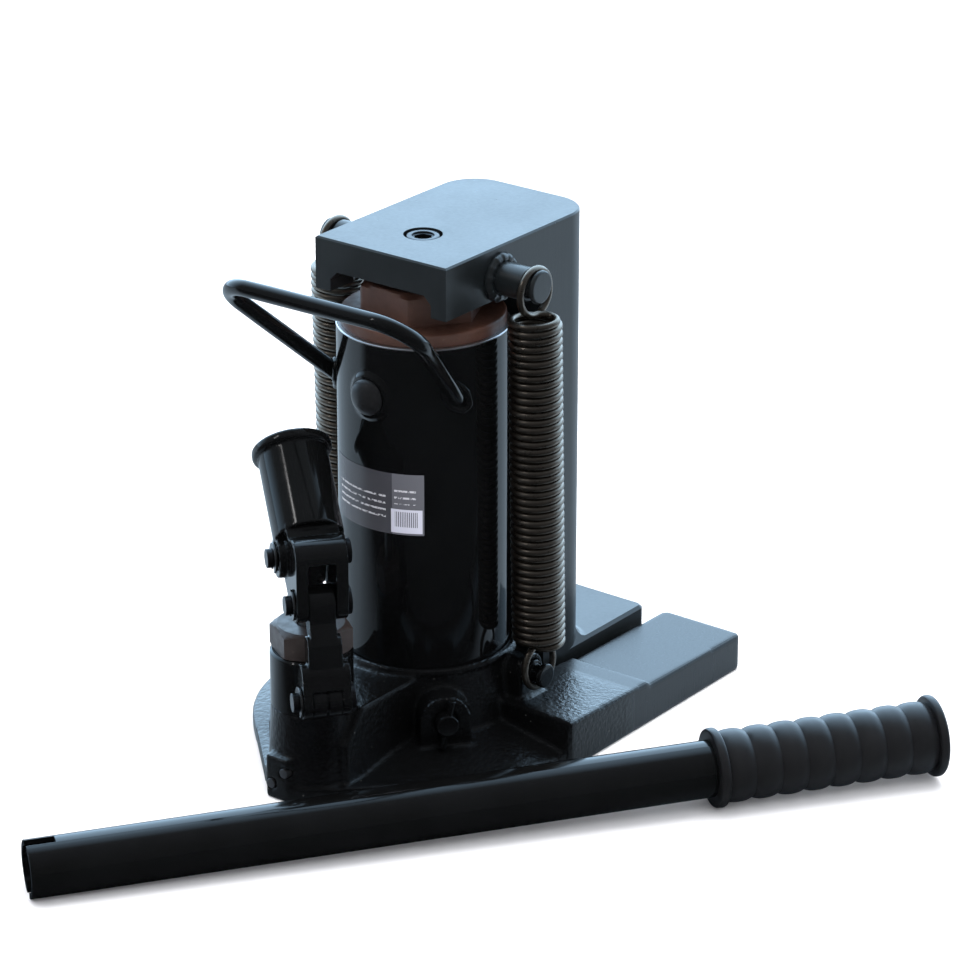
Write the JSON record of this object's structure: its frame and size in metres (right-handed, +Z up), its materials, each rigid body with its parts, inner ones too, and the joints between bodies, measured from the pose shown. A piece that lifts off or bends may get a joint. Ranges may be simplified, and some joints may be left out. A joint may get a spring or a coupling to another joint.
{
  "type": "hydraulic toe jack",
  "caption": "Compact hydraulic jack with a low lifting toe, a lifting head, a lever pump with a handle socket, return springs and a loose handle bar.",
  "frame": {"origin": "on the ram axis, at the underside of the base casting", "axes": "+Z up along the ram, -Y towards the hand pump, +Y towards the toe, +X to the right seen from the pump"},
  "size_m": [0.3314, 0.399, 0.25],
  "materials": {
    "black_gloss_paint": "glossy black enamel",
    "satin_paint": "satin blue-black paint",
    "primer_brown": "matte brown primer",
    "bare_steel": "turned steel with an oil film",
    "clip_steel": "bright spring steel",
    "spring_steel": "dull drawn wire",
    "black_rubber": "satin black rubber",
    "copper_gasket": "annealed soft metal",
    "plate_film": "dark grey printed film"
  },
  "bodies": {
    "base": {"base_casting": "black_gloss_paint", "passage_plugs": "bare_steel", "check_balls": "bare_steel", "spring_studs": "black_gloss_paint", "tank_gasket_lower": "black_rubber", "tank": "black_gloss_paint", "tank_seal_upper": "black_rubber", "cylinder_gasket": "copper_gasket", "ram_cylinder": "bare_steel", "top_nut": "primer_brown", "ram_wiper": "black_rubber", "filler_plug": "black_rubber", "rating_plate": "plate_film", "carry_handle": "black_gloss_paint", "carry_handle_welds": "black_gloss_paint", "pump_body": "black_gloss_paint", "pump_packing": "black_rubber", "pump_gland_nut": "primer_brown", "return_spring_right": "spring_steel", "return_spring_left": "spring_steel"},
    "claw": {"claw": "satin_paint", "head_screw": "bare_steel", "ram": "bare_steel", "ram_piston": "bare_steel", "piston_cup_seal": "black_rubber", "hanger_pins": "satin_paint", "hanger_welds": "satin_paint"},
    "plunger": {"pump_plunger": "bare_steel", "plunger_pin": "bare_steel", "plunger_pin_clip": "clip_steel"},
    "link": {"pump_link": "black_gloss_paint", "link_foot_pin": "bare_steel", "link_foot_clip": "clip_steel"},
    "socket": {"handle_socket": "black_gloss_paint", "socket_pin": "bare_steel", "socket_pin_clip": "clip_steel"},
    "valve": {"release_valve": "bare_steel", "release_valve_seal": "black_rubber", "release_pin": "bare_steel"},
    "handle_bar": {"handle_tube": "black_gloss_paint", "handle_grip": "black_rubber"}
  },
  "joints": [
    {"name": "claw_lift", "type": "slide", "parent": "base", "child": "claw", "axis": [0, 0, 1], "range_m": [0, 0.12], "stiffness_N_per_m": 6600, "springref_m": -0.02, "deforming": ["return_spring_right", "return_spring_left"]},
    {"name": "link_rock", "type": "hinge", "parent": "base", "child": "link", "pos_m": [0.02206, -0.10274, 0.057], "axis": [-0.6157, -0.788, 0], "range_deg": [-9.6, 2.6]},
    {"name": "pump_handle", "type": "hinge", "parent": "link", "child": "socket", "pos_m": [0.01497, -0.0972, 0.102], "axis": [-0.6157, -0.788, 0], "range_deg": [-12, 50]},
    {"name": "plunger_stroke", "type": "slide", "parent": "base", "child": "plunger", "axis": [0, 0, 1], "range_m": [-0.0151, 0.0037]},
    {"name": "release_turn", "type": "hinge", "parent": "base", "child": "valve", "pos_m": [0.0431, -0.03881, 0.026], "axis": [0.7431, -0.6691, 0], "range_deg": [0, 180]},
    {"name": "bar_pick_up", "type": "slide", "parent": "base", "child": "handle_bar", "axis": [0, 0, 1], "range_m": [0, 0.15]}
  ],
  "couplings": [
    {"joint": "link_rock", "follows": "pump_handle", "ratio": -0.186},
    {"joint": "plunger_stroke", "follows": "pump_handle", "m_per_rad": -0.017093}
  ]
}
